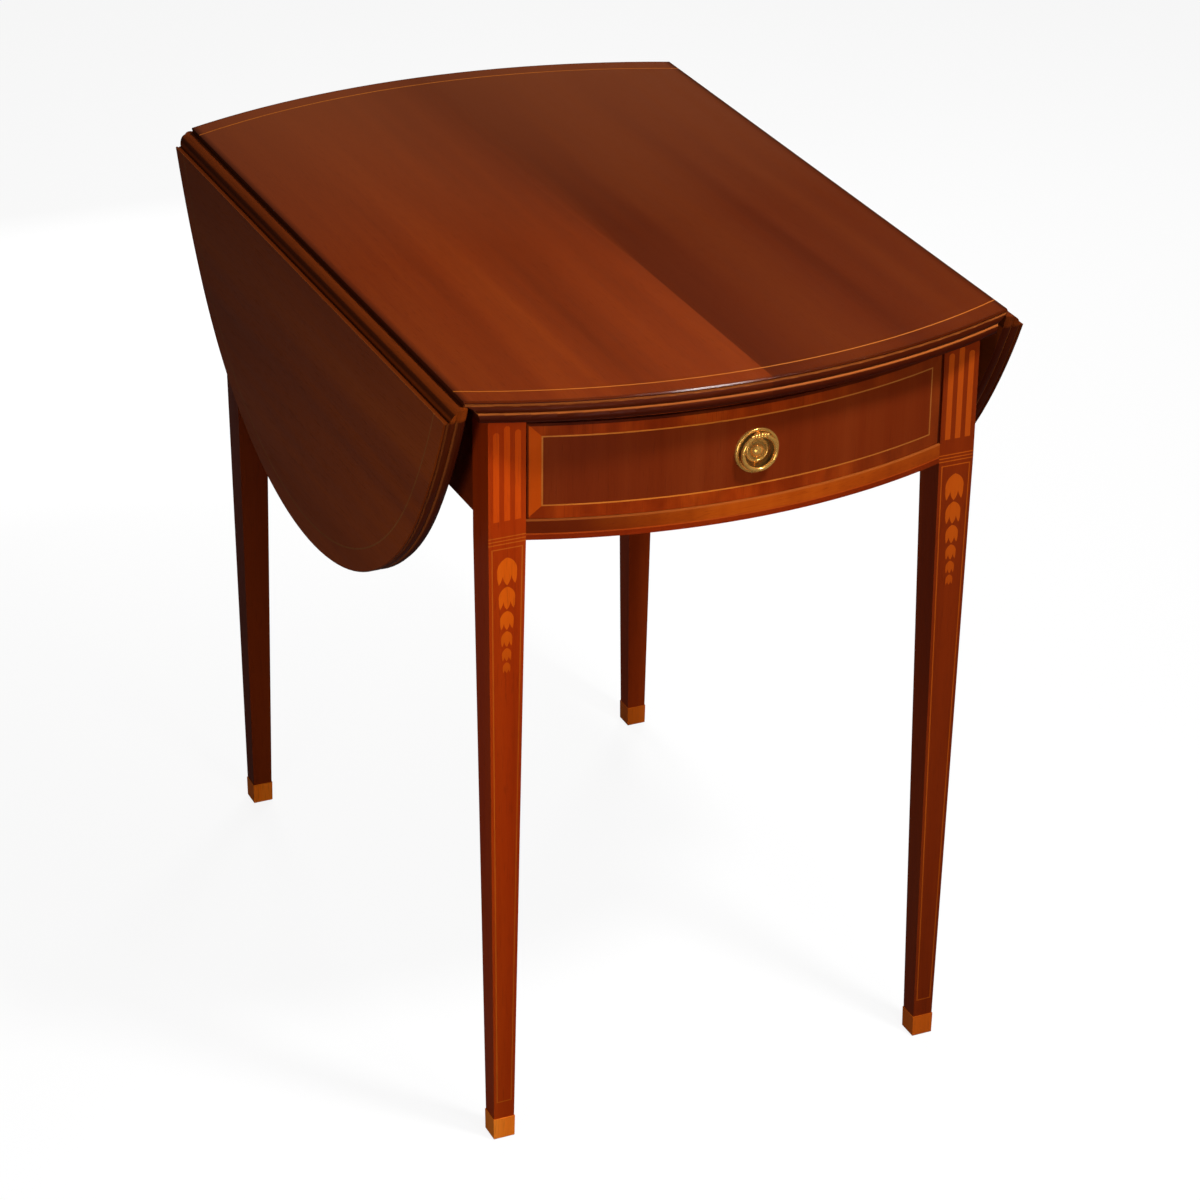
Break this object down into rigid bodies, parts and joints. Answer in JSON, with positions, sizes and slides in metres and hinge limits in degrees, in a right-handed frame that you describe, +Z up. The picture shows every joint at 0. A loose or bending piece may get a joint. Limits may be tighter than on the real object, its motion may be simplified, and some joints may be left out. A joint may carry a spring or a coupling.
{
  "type": "drop-leaf side table",
  "caption": "Drop-leaf side table with an oval top on tapered inlaid legs: leaves hinged on rule joints, swinging fly brackets and a bow-fronted drawer with a ring pull.",
  "frame": {"origin": "on the floor, under the middle of the top", "axes": "+Z up, the drawer's front faces -Y, the leaves hang at -X and +X"},
  "size_m": [0.5238, 0.776, 0.72],
  "materials": {
    "mahogany_top": "polished, semi-gloss",
    "mahogany_frame": "polished, semi-gloss",
    "mahogany_drawer": "polished, semi-gloss",
    "secondary_wood": "planed, unfinished",
    "satinwood": "polished, semi-gloss",
    "string_inlay": "polished, semi-gloss",
    "brass": "polished",
    "steel": "plain"
  },
  "bodies": {
    "table_frame": {"drawer_stops": "secondary_wood", "fixed_top": "mahogany_top", "fly_bracket_pins": "steel", "front_left_leg": "mahogany_frame", "front_lower_rail": "mahogany_frame", "front_right_leg": "mahogany_frame", "front_top_rail": "mahogany_frame", "hinge_pins": "brass", "hinge_top_screws": "steel", "left_drawer_runner": "secondary_wood", "left_front_apron": "mahogany_frame", "left_hinge_top_plates": "brass", "left_inner_rail": "secondary_wood", "left_kicker": "secondary_wood", "left_rear_apron": "mahogany_frame", "leg_bellflower_inlays": "satinwood", "leg_cuffs": "satinwood", "leg_flute_inlays": "satinwood", "leg_string_inlays": "string_inlay", "rail_string_inlays": "string_inlay", "rear_false_front": "mahogany_drawer", "rear_left_leg": "mahogany_frame", "rear_lower_rail": "mahogany_frame", "rear_pull_nut": "brass", "rear_pull_plate": "brass", "rear_pull_post": "brass", "rear_right_leg": "mahogany_frame", "rear_string_inlay": "string_inlay", "rear_top_rail": "mahogany_frame", "right_drawer_runner": "secondary_wood", "right_front_apron": "mahogany_frame", "right_hinge_top_plates": "brass", "right_inner_rail": "secondary_wood", "right_kicker": "secondary_wood", "right_rear_apron": "mahogany_frame", "top_screws": "steel", "top_string_inlays": "string_inlay"},
    "left_leaf": {"left_leaf": "mahogany_top", "left_leaf_string": "string_inlay", "left_hinge_leaf_plates": "brass", "left_hinge_leaf_screws": "steel"},
    "right_leaf": {"right_leaf": "mahogany_top", "right_leaf_string": "string_inlay", "right_hinge_leaf_plates": "brass", "right_hinge_leaf_screws": "steel"},
    "left_fly_bracket": {"left_fly_bracket": "mahogany_frame"},
    "right_fly_bracket": {"right_fly_bracket": "mahogany_frame"},
    "drawer": {"drawer_front": "mahogany_drawer", "drawer_string_inlay": "string_inlay", "drawer_left_side": "secondary_wood", "drawer_right_side": "secondary_wood", "drawer_back": "secondary_wood", "drawer_bottom": "secondary_wood", "pull_plate": "brass", "pull_post": "brass", "pull_nut": "brass"},
    "pull_ring": {"pull_ring": "brass"},
    "rear_pull_ring": {"rear_pull_ring": "brass"}
  },
  "joints": [
    {"name": "left_leaf_hinge", "type": "hinge", "parent": "table_frame", "child": "left_leaf", "pos_m": [-0.2454, 0, 0.7035], "axis": [0, 1, 0], "range_deg": [0, 90]},
    {"name": "right_leaf_hinge", "type": "hinge", "parent": "table_frame", "child": "right_leaf", "pos_m": [0.2454, 0, 0.7035], "axis": [0, -1, 0], "range_deg": [0, 90]},
    {"name": "left_bracket_pivot", "type": "hinge", "parent": "table_frame", "child": "left_fly_bracket", "pos_m": [-0.2105, -0.07, 0.65], "axis": [0, 0, 1], "range_deg": [0, 6]},
    {"name": "right_bracket_pivot", "type": "hinge", "parent": "table_frame", "child": "right_fly_bracket", "pos_m": [0.2105, 0.07, 0.65], "axis": [0, 0, 1], "range_deg": [0, 6]},
    {"name": "drawer_slide", "type": "slide", "parent": "table_frame", "child": "drawer", "axis": [0, -1, 0], "range_m": [0, 0.32]},
    {"name": "pull_ring_swing", "type": "hinge", "parent": "drawer", "child": "pull_ring", "pos_m": [0, -0.3722, 0.66175], "axis": [-1, 0, 0], "range_deg": [0, 170]},
    {"name": "rear_pull_ring_swing", "type": "hinge", "parent": "table_frame", "child": "rear_pull_ring", "pos_m": [0, 0.3722, 0.66175], "axis": [1, 0, 0], "range_deg": [0, 170]}
  ]
}
